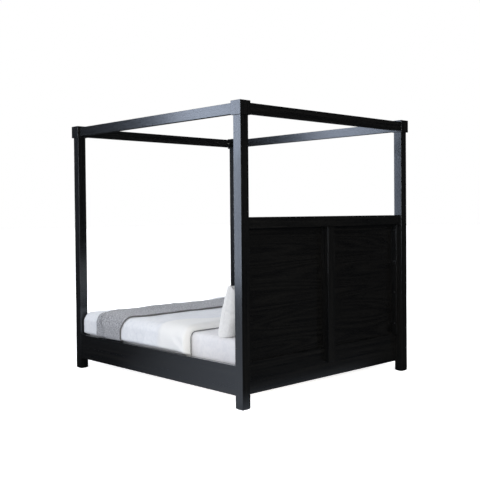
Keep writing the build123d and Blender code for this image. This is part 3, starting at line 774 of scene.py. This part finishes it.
# ------------------------------------------------------------------ the mattress and its sheet
@dataclass
class Mattress:
    """A foam mattress in ticking with taped edges, under a white fitted sheet."""

    node: str = "mattress"
    edge_round: float = 0.030
    spacing: float = 0.028
    sheet_room: float = 0.004
    sheet_hem: float = 0.045
    tape_radius: float = 0.005
    tape_corner: float = 0.035
    pull_long: Unevenness = Unevenness(0.14, 0.0045, 3)
    pull_short: Unevenness = Unevenness(0.09, 0.0025, 4)
    hollow: Unevenness = Unevenness(0.3, 0.002, 5)
    ticking: CoarseCloth = CoarseCloth("mattress_ticking", "#DCDDDF", 3.0, 0.0006)
    tape: CoarseCloth = CoarseCloth("mattress_tape", "#C9CACD", 2.0, 0.0006)
    percale: WhiteCotton = WhiteCotton("cotton_percale", "#F5F3F2", "#EAE9EA", crinkle_mm=34.0)
    low: Vector = field(default_factory=Vector)
    high: Vector = field(default_factory=Vector)

    def block(self, inset: float, base: float) -> tuple[np.ndarray, list[Any]]:
        """Make a soft block of quads with rounded edges.

        Args:
            inset: How far the block stays inside the CAD mattress.
            base: The height of its underside.

        Returns:
            Its points and faces.
        """
        low = np.array(self.low) + inset
        high = np.array(self.high) - inset
        low[2] = base
        counts = [max(2, round((high[k] - low[k]) / self.spacing)) for k in range(3)]
        number: dict[tuple[int, ...], int] = {}
        points: list[np.ndarray] = []
        faces: list[Any] = []

        def corner(key: tuple[int, ...]) -> int:
            """Give a lattice point's number, adding it the first time."""
            if key not in number:
                number[key] = len(points)
                points.append(low + (high - low) * np.array(key) / counts)
            return number[key]

        for axis in range(3):
            a, b = (axis + 1) % 3, (axis + 2) % 3
            for end in (0, counts[axis]):
                for i in range(counts[a]):
                    for j in range(counts[b]):
                        quad = []
                        for di, dj in ((0, 0), (1, 0), (1, 1), (0, 1)):
                            key = [0, 0, 0]
                            key[axis], key[a], key[b] = end, i + di, j + dj
                            quad.append(corner(tuple(key)))
                        faces.append(tuple(quad) if end else tuple(reversed(quad)))
        found = np.array(points)
        core = np.clip(found, low + self.edge_round, high - self.edge_round)
        away = found - core
        length = np.linalg.norm(away, axis=1)[:, None]
        rounded = np.where(length > 1e-9, core + self.edge_round * away / np.maximum(length, 1e-9), found)
        return rounded, faces

    def outline(self, height: float, inset: float) -> np.ndarray:
        """Points round the mattress at one height, for its taped edge.

        Args:
            height: How high they are.
            inset: How far inside the CAD mattress they run.

        Returns:
            Rows of x, y and z, anticlockwise from above.
        """
        low, high = np.array(self.low)[:2] + inset, np.array(self.high)[:2] - inset
        corner = self.tape_corner
        found = []
        for (cx, cy), first in (((high[0], high[1]), 0), ((low[0], high[1]), 90),
                                ((low[0], low[1]), 180), ((high[0], low[1]), 270)):
            sx, sy = np.sign(cx - (low[0] + high[0]) / 2), np.sign(cy - (low[1] + high[1]) / 2)
            for degrees in np.linspace(first, first + 90, 7):
                angle = math.radians(degrees)
                found.append((cx - sx * corner + corner * math.cos(angle),
                              cy - sy * corner + corner * math.sin(angle), height))
        return np.array(found)

    def build(self) -> list[bpy.types.Object]:
        """Make the mattress, its two taped edges and its fitted sheet.

        Returns:
            The pieces.
        """
        self.low, self.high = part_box(self.node)
        points, faces = self.block(self.sheet_room, self.low.z)
        core = mesh_piece("mattress_core", points, faces, self.ticking)
        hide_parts(self.node)
        pieces = [core]
        for label, height in (("lower", self.low.z + 0.022), ("upper", self.high.z - 0.030)):
            pieces.append(tube(f"mattress_tape_{label}", self.outline(height, self.sheet_room + 0.004),
                               self.tape_radius, self.tape, closed=True))
        pieces.append(self.fitted_sheet())
        for piece in pieces:
            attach(piece, "mattress")
        return pieces

    def fitted_sheet(self) -> bpy.types.Object:
        """Make the fitted sheet: stretched on top, drawn in and puckered at its elastic hem.

        Returns:
            The sheet.
        """
        points, faces = self.block(0.0, self.low.z)
        hem = self.low.z + self.sheet_hem
        x, y, z = points.T
        middle_x, middle_y = (self.low.x + self.high.x) / 2, (self.low.y + self.high.y) / 2
        half_x, half_y = (self.high.x - self.low.x) / 2, (self.high.y - self.low.y) / 2
        corner_x, corner_y = np.abs(x - middle_x) / half_x, np.abs(y - middle_y) / half_y
        near_corner = smooth_step(corner_x, 0.75, 1.0) * smooth_step(corner_y, 0.75, 1.0)
        top = smooth_step(z, self.high.z - 0.05, self.high.z)
        long, short, hollow = self.pull_long, self.pull_short, self.hollow
        pull = (creases(x, y, long.size, long.seed) * long.depth
                + creases(x * 0.6 + y, y - x * 0.4, short.size, short.seed) * short.depth)
        pull = pull + noise_field(x, y, hollow.size, hollow.seed) * hollow.depth
        around = np.arctan2(y - middle_y, x - middle_x)
        pucker = np.sin(around * 220) * 0.002 * (1 - smooth_step(z, hem, hem + 0.08))
        tuck = np.abs(np.sin((x + y) * 60)) * 0.004 * near_corner * (1 - top)
        points[:, 2] += pull * top
        side = (1 - top) * (pucker + tuck)
        points[:, 0] += np.sign(x - middle_x) * side * (corner_x > 0.99)
        points[:, 1] += np.sign(y - middle_y) * side * (corner_y > 0.99)
        kept = [f for f in faces if min(z[list(f)]) > hem]
        used = sorted({i for f in kept for i in f})
        renumber = {old: new for new, old in enumerate(used)}
        kept = [tuple(renumber[i] for i in f) for f in kept]
        sheet = mesh_piece("fitted_sheet", points[used], kept, self.percale)
        apply_modifier(sheet, "SOLIDIFY", thickness=0.0015, offset=-1.0)
        return sheet


# ------------------------------------------------------------------ the duvet
@dataclass
class Duvet:
    """A soft duvet over the sides and the foot of the mattress, its head end turned back once."""

    node: str = "duvet"
    spacing: float = 0.021
    inner_round: float = 0.030
    top_loft: float = 0.026
    side_loft: float = 0.071
    foot_loft: float = 0.050
    turn_loft: float = 0.021
    turn_start: float = 0.10
    head_hem_round: float = 0.060
    side_hem_round: float = 0.010
    tuck: float = 0.008
    hem_row: float = 0.004
    rail_room: float = 0.0015
    piping_radius: float = 0.0026
    post_room: float = 0.004
    thinnest: float = 0.012
    hill: Unevenness = Unevenness(0.42, 0.007, 12)
    ripple: Unevenness = Unevenness(0.17, 0.003, 13)
    fold: Unevenness = Unevenness(0.17, 0.008, 14)
    wrinkle: Unevenness = Unevenness(0.21, 0.006, 15)
    # the turned-back part gets a painted highlight in a brighter, warmer white
    cotton: WhiteCotton = WhiteCotton("washed_cotton", "#F2F3F4", "#E6E8EB", crinkle_mm=30.0,
                                      turned_highlight="#F7F6F2")
    # grey piping whose dark tone is partly painted contact shadow along the duvet's head edge
    cord: CoarseCloth = CoarseCloth("piping_cord_and_shade", "#5E6066", 1.5, 0.0005)
    half_flat: float = 0.0
    foot_flat: float = 0.0
    head_end: float = 0.0
    top: float = 0.0
    reach: float = 0.0
    across: np.ndarray = field(default_factory=lambda: np.zeros(0))
    down: np.ndarray = field(default_factory=lambda: np.zeros(0))
    surface: BVHTree | None = None

    def measure(self) -> None:
        """Work out the grid from the boxes of the mattress and the duvet."""
        low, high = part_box("mattress")
        rail_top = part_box("side_rail_right")[1].z
        self.half_flat = high.x + 0.003 - self.inner_round
        self.foot_flat = low.y - 0.003 + self.inner_round
        self.top = high.z + 0.002
        self.head_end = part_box(self.node)[1].y
        drop = self.top - self.inner_round - (rail_top - self.tuck)
        self.reach = self.inner_round * math.pi / 2 + drop
        half = self.half_flat + self.reach
        self.across = np.linspace(-half, half, 2 * round(half / self.spacing) + 1)
        self.across = np.sort(np.append(self.across, [self.hem_row - half, half - self.hem_row]))
        length = self.head_end - self.foot_flat + self.reach
        self.down = np.linspace(self.foot_flat - self.reach, self.head_end, round(length / self.spacing) + 1)

    def lay(self, s: np.ndarray, t: np.ndarray) -> tuple[np.ndarray, np.ndarray, np.ndarray]:
        """Lay flat cloth coordinates on the mattress.

        Args:
            s: Distance across the bed from its middle, over the top and down the side.
            t: Distance along the bed, over the top and down the foot end.

        Returns:
            The point on the mattress, the direction out of it, and how far over the edge it is.
        """
        over_x = np.maximum(np.abs(s) - self.half_flat, 0)
        over_y = np.maximum(self.foot_flat - t, 0)
        ways = np.hypot(over_x, over_y)
        reach = np.maximum(over_x, over_y)
        safe = np.maximum(ways, 1e-9)
        way_x, way_y = np.sign(s) * over_x / safe, -over_y / safe
        turn = np.clip(reach / self.inner_round, 0, math.pi / 2)
        drop = np.maximum(reach - self.inner_round * math.pi / 2, 0)
        out = self.inner_round * np.sin(turn)
        flat_x = np.clip(s, -self.half_flat, self.half_flat)
        flat_y = np.maximum(t, self.foot_flat)
        point = np.stack([flat_x + way_x * out, flat_y + way_y * out,
                          self.top - self.inner_round * (1 - np.cos(turn)) - drop], axis=-1)
        normal = np.stack([way_x * np.sin(turn), way_y * np.sin(turn), np.cos(turn)], axis=-1)
        return point, normal, reach

    def turn_line(self, s: np.ndarray) -> np.ndarray:
        """Where along the bed the turned-back part starts."""
        line = self.turn_start + 0.13 * smooth_step(self.half_flat - np.abs(s), 0.10, 0.45)
        return line + 0.012 * noise_field(s, s * 0, 0.5, 10)

    def loft(self, s: np.ndarray, t: np.ndarray, normal: np.ndarray, reach: np.ndarray) -> np.ndarray:
        """How thick the filling is at each point.

        Args:
            s: Distance across the bed, over the top and down the side.
            t: Distance along the bed, over the top and down the foot end.
            normal: The direction out of the mattress.
            reach: How far over the edge each point is.

        Returns:
            The thickness in metres.
        """
        side, foot, top = normal[..., 0] ** 2, normal[..., 1] ** 2, normal[..., 2] ** 2
        body = self.top_loft * top + self.side_loft * side + self.foot_loft * foot
        line = self.turn_line(s)
        turned = smooth_step(t, line - 0.022, line + 0.040)
        valley = np.exp(-((t - line + 0.040) / 0.026) ** 2)
        swell = self.turn_loft * turned * (0.85 + 0.15 * noise_field(s, t, 0.3, 11)) - 0.009 * valley
        body = body + swell * (top + 0.35 * side * smooth_step(self.reach - reach, 0.03, 0.12))
        hill, ripple, fold, wrinkle = self.hill, self.ripple, self.fold, self.wrinkle
        body = body + (hill.depth * noise_field(s, t, hill.size, hill.seed)
                       + ripple.depth * noise_field(s, t, ripple.size, ripple.seed)) * (1 - 0.6 * side)
        hanging = smooth_step(reach, 0.02, 0.10)
        folds = (creases(s * 0.35, t, fold.size, fold.seed) - 0.4) * fold.depth * hanging
        wrinkles = (creases(s, t * 0.8, wrinkle.size, wrinkle.seed) - 0.3) * wrinkle.depth * top
        body = body + (folds + wrinkles) * (1 - 0.5 * turned)
        head_round = self.head_hem_round * (0.35 + 0.65 * top)
        share = np.minimum((self.reach - reach) / self.side_hem_round, (self.head_end - t) / head_round)
        share = np.clip(share, 0, 1)
        return np.maximum(body, self.thinnest) * np.sqrt(np.maximum(1 - (1 - share) ** 2, 0))

    def fit_frame(self, points: np.ndarray) -> np.ndarray:
        """Press the duvet in where the foot posts stand, and lay it on the rails.

        Args:
            points: Rows of x, y and z, which are changed.

        Returns:
            The same rows.
        """
        rail_low, rail_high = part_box("side_rail_right")
        over = (np.abs(points[:, 0]) > rail_low.x - 0.010) | (points[:, 1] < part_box("foot_rail")[1].y + 0.010)
        floor = rail_high.z + self.rail_room
        points[over, 2] = np.maximum(points[over, 2], floor)
        for node in ("post_foot_right", "post_foot_left"):
            low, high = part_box(node)
            sign = 1 if low.x > 0 else -1
            inner_x = (low.x if sign > 0 else -high.x) - self.post_room
            inner_y = high.y + self.post_room
            deep_x = sign * points[:, 0] - inner_x
            deep_y = inner_y - points[:, 1]
            inside = (deep_x > 0) & (deep_y > 0)
            by_x = inside & (deep_x <= deep_y)
            by_y = inside & ~by_x
            points[by_x, 0] = sign * inner_x
            points[by_y, 1] = inner_y
        return points

    def build(self) -> list[bpy.types.Object]:
        """Make the duvet and the piping round its edge.

        Returns:
            The pieces.
        """
        self.measure()
        s, t = np.meshgrid(self.across, self.down)
        rows, columns = s.shape
        point, normal, reach = self.lay(s, t)
        outer = point + normal * self.loft(s, t, normal, reach)[..., None]
        outer = self.fit_frame(outer.reshape(-1, 3))
        faces, second, rim = sewn_case(rows, columns)
        inner = self.fit_frame(point.reshape(-1, 3).copy())
        inside = second.ravel() >= rows * columns
        points = np.vstack([outer, inner[inside]])
        points[rim] = outer[rim]
        piece = mesh_piece("duvet_cover", points, faces, self.cotton)
        # marks the turned-back part, which gets the cotton's painted highlight
        turned = np.zeros(len(points), np.float32)
        turned[:rows * columns] = smooth_step(t - self.turn_line(s), -0.040, 0.050).ravel()
        piece.data.attributes.new("turned_over", "FLOAT", "POINT").data.foreach_set("value", turned)
        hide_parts(self.node)
        still = rim + list(range(rows * columns, len(points)))
        inflate(piece, pressure=2.5, frames=18, cap=0.014, swell=0.035, held=still, bending=0.15)
        put(piece, self.fit_frame(places(piece)))
        self.surface = BVHTree.FromObject(piece, bpy.context.evaluated_depsgraph_get())
        apply_modifier(piece, "SUBSURF", levels=1)
        head_row = places(piece)[(rows - 1) * columns:rows * columns]
        piping = tube("duvet_piping", head_row[1:-1] + np.array([0, 0.001, 0]), self.piping_radius, self.cord)
        for made in (piece, piping):
            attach(made, "duvet")
        return [piece, piping]


# ------------------------------------------------------------------ the throw
@dataclass
class Throw:
    """A woven wool throw, folded once along its length and laid across the bed near the foot."""

    duvet: Duvet
    node: str = "throw"
    spacing: float = 0.013
    cloth: float = 0.0042
    layer_gap: float = 0.0085
    rest: float = 0.0036
    hem_tuck: float = 0.012
    ray_start: float = 0.2      # how far out the rays that find the duvet start
    ray_missed: float = 0.17    # how far a ray that misses it is taken to go
    pleat: Unevenness = Unevenness(0.11, 0.010, 31)
    ripple: Unevenness = Unevenness(0.23, 0.004, 33)
    wool: HeatherWool = HeatherWool("heather_wool")

    def edges(self, reach: np.ndarray) -> tuple[np.ndarray, np.ndarray]:
        """Where the throw's two long edges lie along the bed, which draws in as it falls over the side.

        Args:
            reach: How far over the edge of the bed.

        Returns:
            The places of the foot side and of the head side.
        """
        low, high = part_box(self.node)
        fall = smooth_step(reach, -0.10, 0.10)
        return low.y + 0.012 * fall, high.y - 0.135 * fall

    def build(self) -> list[bpy.types.Object]:
        """Make the folded throw.

        Returns:
            The pieces.
        """
        duvet = self.duvet
        reach = duvet.reach - self.hem_tuck
        count = 2 * round((duvet.half_flat + reach) / self.spacing) + 1
        s_line = np.linspace(-(duvet.half_flat + reach), duvet.half_flat + reach, count)
        low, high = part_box(self.node)
        width = high.y - low.y
        steps = round(width / self.spacing)
        share_line = np.concatenate([np.linspace(0, 1, steps), np.linspace(1, 0, steps)])
        layer_line = np.concatenate([np.zeros(steps), np.ones(steps)])
        s, share = np.meshgrid(s_line, share_line)
        _, layer = np.meshgrid(s_line, layer_line)
        over = np.abs(s) - duvet.half_flat
        foot, head = self.edges(over)
        upper_foot = foot + 0.012 + 0.12 * smooth_step(over, -0.06, 0.12)
        start = np.where(layer > 0.5, upper_foot, foot)
        t = start + (head - start) * share
        point, normal, _ = duvet.lay(s, t)
        loft = np.zeros(s.shape)
        for index in np.ndindex(s.shape):
            away = Vector(point[index] + normal[index] * self.ray_start)
            hit = duvet.surface.ray_cast(away, Vector(-normal[index]))
            loft[index] = self.ray_start - (hit[3] if hit[0] is not None else self.ray_missed)
        for _ in range(3):
            spread = loft.copy()
            spread[1:-1, 1:-1] = (loft[:-2, 1:-1] + loft[2:, 1:-1] + loft[1:-1, :-2] + loft[1:-1, 2:]) / 4
            loft = np.maximum(loft, spread)
        falling = smooth_step(over, -0.02, 0.10)
        pleat = creases(s * 0.3, t, self.pleat.size, self.pleat.seed) * self.pleat.depth * falling
        pleat = pleat * (0.5 + 0.5 * layer)
        ripple = creases(s, t, self.ripple.size, self.ripple.seed) * self.ripple.depth
        ripple = ripple * (0.4 + 0.6 * layer)
        fold = np.clip(1 - (1 - share) * width / 0.012, 0, 1)
        lift = self.rest + layer * self.layer_gap + pleat + ripple - layer * self.layer_gap * 0.4 * fold
        outer = point + normal * (loft + lift)[..., None]
        rows, columns = s.shape
        flat_v = np.where(layer > 0.5, 2 * width - share * width, share * width)
        flat = np.stack([s, flat_v], axis=-1).reshape(-1, 2)
        faces = grid_faces(rows, columns)
        piece = mesh_piece("wool_throw", outer.reshape(-1, 3), faces, self.wool, flat)
        # the darker band at the fold and at the upper layer's free edge: partly a dark hem, partly painted
        # shade of the fold
        edge = np.clip(2 - (1 - share) * width / 0.006, 0, 1)
        edge = np.maximum(edge, layer * np.clip(2.2 - share * width / 0.009, 0, 1)).ravel()
        hem_and_shade_band = piece.data.attributes.new("bound_edge", "FLOAT", "POINT")
        hem_and_shade_band.data.foreach_set("value", edge.astype(np.float32))
        apply_modifier(piece, "SOLIDIFY", thickness=self.cloth, offset=0.0)
        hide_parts(self.node)
        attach(piece, "throw")
        return [piece]


# ------------------------------------------------------------------ the pillows
@dataclass
class Pillow:
    """A king-size pillow in a white cotton case that stands on the mattress and leans on the headboard."""

    side: Side
    case: tuple[float, float] = (0.94, 0.53)
    spacing: float = 0.013
    thickness: float = 0.200
    width: float = 0.880
    height: float = 0.440
    lean: float = 18.0
    turn: float = 5.0
    press: float = 0.022
    first_seed: int = 50
    slack_start: float = 0.14   # the share of its thickness that the empty case starts with
    quick_start: float = 0.9    # the same where the simulation is left out
    seam_radius: float = 0.002
    cotton: WhiteCotton = WhiteCotton("pillow_cotton", "#F7F5F0", "#ECEAE6", crinkle_mm=18.0)

    def flatten(self, values: np.ndarray, wall: float, sign: int) -> np.ndarray:
        """Press the pillow softly against a flat wall.

        Args:
            values: The points' places along the wall's normal.
            wall: Where the wall is.
            sign: 1 if the pillow lies below the wall's value, -1 if above.

        Returns:
            The pressed places, none beyond the wall.
        """
        past = sign * (values - wall) + self.press
        pressed = -self.press + self.press * np.tanh(np.maximum(past, 0) / self.press)
        return np.where(past > 0, wall + sign * pressed, values)

    def build(self) -> list[bpy.types.Object]:
        """Make the pillow by blowing up a flat sewn case, then stand it up and lean it.

        Returns:
            The pieces.
        """
        label = self.side.name.lower()
        node = f"pillow_{label}"
        low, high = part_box(node)
        columns, rows = (round(size / self.spacing) + 1 for size in self.case)
        u, v = np.meshgrid(np.linspace(-1, 1, columns), np.linspace(-1, 1, rows))
        seed = self.first_seed + self.side.value
        start = self.slack_start
        puff = start * self.thickness / 2 * ((1 - u ** 4) * (1 - v ** 4)) ** 0.6
        uneven = 1 + 0.2 * noise_field(u, v, 0.5, seed)
        front = np.stack([u * self.case[0] / 2, v * self.case[1] / 2, puff * uneven], axis=-1).reshape(-1, 3)
        back = front * np.array([1, 1, -1])
        faces, second, rim = sewn_case(rows, columns)
        inside = second.ravel() >= rows * columns
        piece = mesh_piece(f"pillow_case_{label}", np.vstack([front, back[inside]]), faces, self.cotton)
        inflate(piece, pressure=7.0, frames=34, cap=0.14, swell=0.0, bending=0.25)
        points = places(piece)
        size = points.max(0) - points.min(0)
        wanted = np.array([self.width, self.height, self.thickness])
        points = (points - (points.max(0) + points.min(0)) / 2) * wanted / size
        for axis, fuller in ((0, 0.28), (1, 0.16)):
            share = points[:, axis] / wanted[axis] * 2
            points[:, axis] *= 1 + fuller * (1 - share ** 2)
        tall = points[:, 1] / self.height + 0.5
        fullness = 1.12 - 0.22 * tall
        angle = math.radians(self.lean)
        stand_y = -points[:, 2] * fullness - 0.014 * np.sin(tall * math.pi)
        aside = self.side.value * math.radians(self.turn)
        along = stand_y * math.cos(angle) + points[:, 1] * math.sin(angle)
        world = np.stack([points[:, 0] * math.cos(aside) + along * math.sin(aside) + (low.x + high.x) / 2,
                          along * math.cos(aside) - points[:, 0] * math.sin(aside),
                          points[:, 1] * math.cos(angle) - stand_y * math.sin(angle)], axis=-1)
        world[:, 1] += high.y + self.press - world[:, 1].max()
        world[:, 2] += low.z - self.press - world[:, 2].min()
        world[:, 1] = self.flatten(world[:, 1], high.y, 1)
        world[:, 2] = self.flatten(world[:, 2], low.z + 0.001, -1)
        put(piece, world)
        apply_modifier(piece, "SUBSURF", levels=1)
        seam_path = places(piece)[rim]
        seam = tube(f"pillow_seam_{label}", seam_path, self.seam_radius, self.cotton, closed=True,
                    around=6)
        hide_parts(node)
        for made in (piece, seam):
            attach(made, node)
        return [piece, seam]


# ------------------------------------------------------------------ floor, light and camera
@dataclass(frozen=True)
class SoftBox:
    """One soft lamp: its place, what it faces, its width and height in metres, power and colour."""

    name: str
    place: tuple[float, float, float]
    target: tuple[float, float, float]
    size: tuple[float, float]
    watts: float
    tint: str


@dataclass
class Studio:
    """A pale floor, soft lights and the camera."""

    floor_size: float = 120.0
    eye: tuple[float, float, float] = (4.648, 5.058, 1.391)
    ahead: tuple[float, float, float] = (-0.6888335, -0.7246426, -0.0200370)
    up: tuple[float, float, float] = (-0.0200163, -0.0086171, 0.9997625)
    lens: float = 57.956
    shift: tuple[float, float] = (-0.02233, -0.02442)
    side_width: float = 1.9
    side_boxes: tuple[tuple[str, float, float, float], ...] = (
        ("low", 0.70, 1.4, 3.6), ("middle", 1.95, 1.1, 4.3), ("high", 3.5, 2.0, 6.8))
    side_stand: tuple[float, float] = (7.0, -5.9)
    side_aim: tuple[float, float] = (0.98, 1.0)
    side_tint: str = "#DFE8FA"
    boxes: tuple[SoftBox, ...] = (
        SoftBox("fill_box", (6.0, 2.2, 1.5), (0.6, 0.2, 0.4), (2.4, 2.0), 112.0, "#F4F6FC"),
        SoftBox("head_box", (2.0, 7.2, 2.6), (0.0, 0.4, 0.4), (2.4, 2.0), 175.0, "#FFFCF4"),
        SoftBox("foot_box", (0.0, -6.0, 1.4), (0.0, -1.0, 0.4), (2.4, 2.0), 120.0, "#F4F6FC"),
        SoftBox("overhead_box", (0.8, 0.4, 5.2), (0.0, 0.0, 0.4), (4.5, 4.5), 22.0, "#EEF2FC"),
        SoftBox("left_box", (-6.5, -1.2, 2.4), (0.0, 0.0, 0.8), (2.6, 3.0), 90.0, "#E8EEFA"))

    def camera(self) -> None:
        """Make the camera, standing off the head corner of the bed."""
        data = bpy.data.cameras.new("camera")
        data.sensor_width = 36.0
        data.lens = self.lens
        data.shift_x, data.shift_y = self.shift
        data.clip_end = 200.0
        made = bpy.data.objects.new("camera", data)
        bpy.context.scene.collection.objects.link(made)
        ahead, up = Vector(self.ahead).normalized(), Vector(self.up)
        right = ahead.cross(up).normalized()
        true_up = right.cross(ahead)
        turn = Matrix((right, true_up, -ahead)).transposed().to_4x4()
        made.matrix_world = Matrix.Translation(self.eye) @ turn
        bpy.context.scene.camera = made

    def floor(self) -> None:
        """Make the pale floor: white to the eye, dimmer to light and reflections, with a painted pool of light
        glowing beside the bed.
        """
        half = self.floor_size / 2
        mesh = bpy.data.meshes.new("floor")
        corners = [(-half, -half, 0), (half, -half, 0), (half, half, 0), (-half, half, 0)]
        mesh.from_pydata(corners, [], [(0, 1, 2, 3)])
        material = bpy.data.materials.new("studio_floor")
        material.use_nodes = True
        tree = material.node_tree
        tree.nodes.clear()
        matt = add(tree, "ShaderNodeBsdfDiffuse", {"Color": linear("#F4F4F5"), "Roughness": 1.0})
        glow = add(tree, "ShaderNodeEmission", {"Color": linear("#FFFFFF"), "Strength": 0.78})
        both = add(tree, "ShaderNodeAddShader", links={0: matt.outputs[0], 1: glow.outputs[0]})
        # painted pool of light: for lighting and reflections the floor glows brighter beside the bed, as if lit
        # by a lamp
        place = add(tree, "ShaderNodeTexCoord").outputs["Object"]
        slant = add(tree, "ShaderNodeVectorMath", {"operation": "DOT_PRODUCT", 1: (1.0, 1.0, 0.0)},
                    {0: place})
        spread = add(tree, "ShaderNodeMapRange",
                     {"From Min": 0.3, "From Max": 2.2, "To Min": 0.02, "To Max": 0.8},
                     {"Value": slant.outputs["Value"]})
        along = add(tree, "ShaderNodeSeparateXYZ", links={0: place})
        end = add(tree, "ShaderNodeMapRange",
                  {"From Min": 0.8, "From Max": 1.5, "To Min": 0.9, "To Max": 0.03},
                  {"Value": along.outputs["Y"]})
        level = add(tree, "ShaderNodeMath", {"operation": "MINIMUM"},
                    {0: spread.outputs[0], 1: end.outputs[0]})
        painted_light_pool = add(tree, "ShaderNodeEmission", {"Color": linear("#E6ECF8")}, {"Strength": level.outputs[0]})
        ray = add(tree, "ShaderNodeLightPath")
        mix = add(tree, "ShaderNodeMixShader", links={0: ray.outputs["Is Camera Ray"], 1: painted_light_pool.outputs[0],
                                                      2: both.outputs[0]})
        add(tree, "ShaderNodeOutputMaterial", links={"Surface": mix.outputs[0]})
        mesh.materials.append(material)
        made = bpy.data.objects.new("floor", mesh)
        bpy.context.scene.collection.objects.link(made)

    def sky(self) -> None:
        """Make a white surround for the eye that lights the bed only softly."""
        world = bpy.data.worlds.new("surround")
        bpy.context.scene.world = world
        world.use_nodes = True
        tree = world.node_tree
        tree.nodes.clear()
        seen = add(tree, "ShaderNodeBackground", {"Color": linear("#FFFFFF"), "Strength": 1.0})
        fill = add(tree, "ShaderNodeBackground", {"Color": linear("#EFF2F8"), "Strength": 0.56})
        gloss = add(tree, "ShaderNodeBackground", {"Color": linear("#DDE3F0"), "Strength": 0.025})
        ray = add(tree, "ShaderNodeLightPath")
        soft = add(tree, "ShaderNodeMixShader", links={0: ray.outputs["Is Glossy Ray"], 1: fill.outputs[0],
                                                       2: gloss.outputs[0]})
        mix = add(tree, "ShaderNodeMixShader", links={0: ray.outputs["Is Camera Ray"], 1: soft.outputs[0],
                                                      2: seen.outputs[0]})
        add(tree, "ShaderNodeOutputWorld", links={"Surface": mix.outputs[0]})

    def lamp(self, box: SoftBox) -> None:
        """Make one soft lamp.

        Args:
            box: What it is like and where it stands.
        """
        data = bpy.data.lights.new(box.name, "AREA")
        data.shape = "RECTANGLE"
        data.size, data.size_y = box.size
        data.energy = box.watts
        data.color = linear(box.tint)[:3]
        made = bpy.data.objects.new(box.name, data)
        made.location = box.place
        ahead = Vector(box.target) - Vector(box.place)
        made.rotation_euler = ahead.to_track_quat("-Z", "Y").to_euler()
        made.visible_camera = False
        bpy.context.scene.collection.objects.link(made)

    def build(self) -> None:
        """Set up floor, light and camera."""
        self.floor()
        self.sky()
        for name, height, tall, glow in self.side_boxes:
            watts = glow * math.pi * tall * self.side_width
            self.lamp(SoftBox(f"side_box_{name}", (*self.side_stand, height), (*self.side_aim, height),
                              (self.side_width, tall), watts, self.side_tint))
        for box in self.boxes:
            self.lamp(box)
        self.camera()
        view = bpy.context.scene.view_settings
        view.view_transform = "Standard"
        view.look = "None"


def main() -> None:
    """Build the bed's looks piece by piece, then the studio."""
    logging.basicConfig(level=logging.INFO, format="%(name)s: %(message)s")
    Bedstead().dress()
    log.info("bedstead dressed: %d nodes", len(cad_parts))
    duvet = Duvet()
    makers: list[Callable[[], list[bpy.types.Object]]] = [
        Mattress().build, duvet.build, Throw(duvet).build, Pillow(Side.RIGHT).build, Pillow(Side.LEFT).build]
    for make in makers:
        for piece in make():
            log.info("%s: %d faces", piece.name, len(piece.data.polygons))
    Studio().build()


if __name__ == "__main__":
    main()
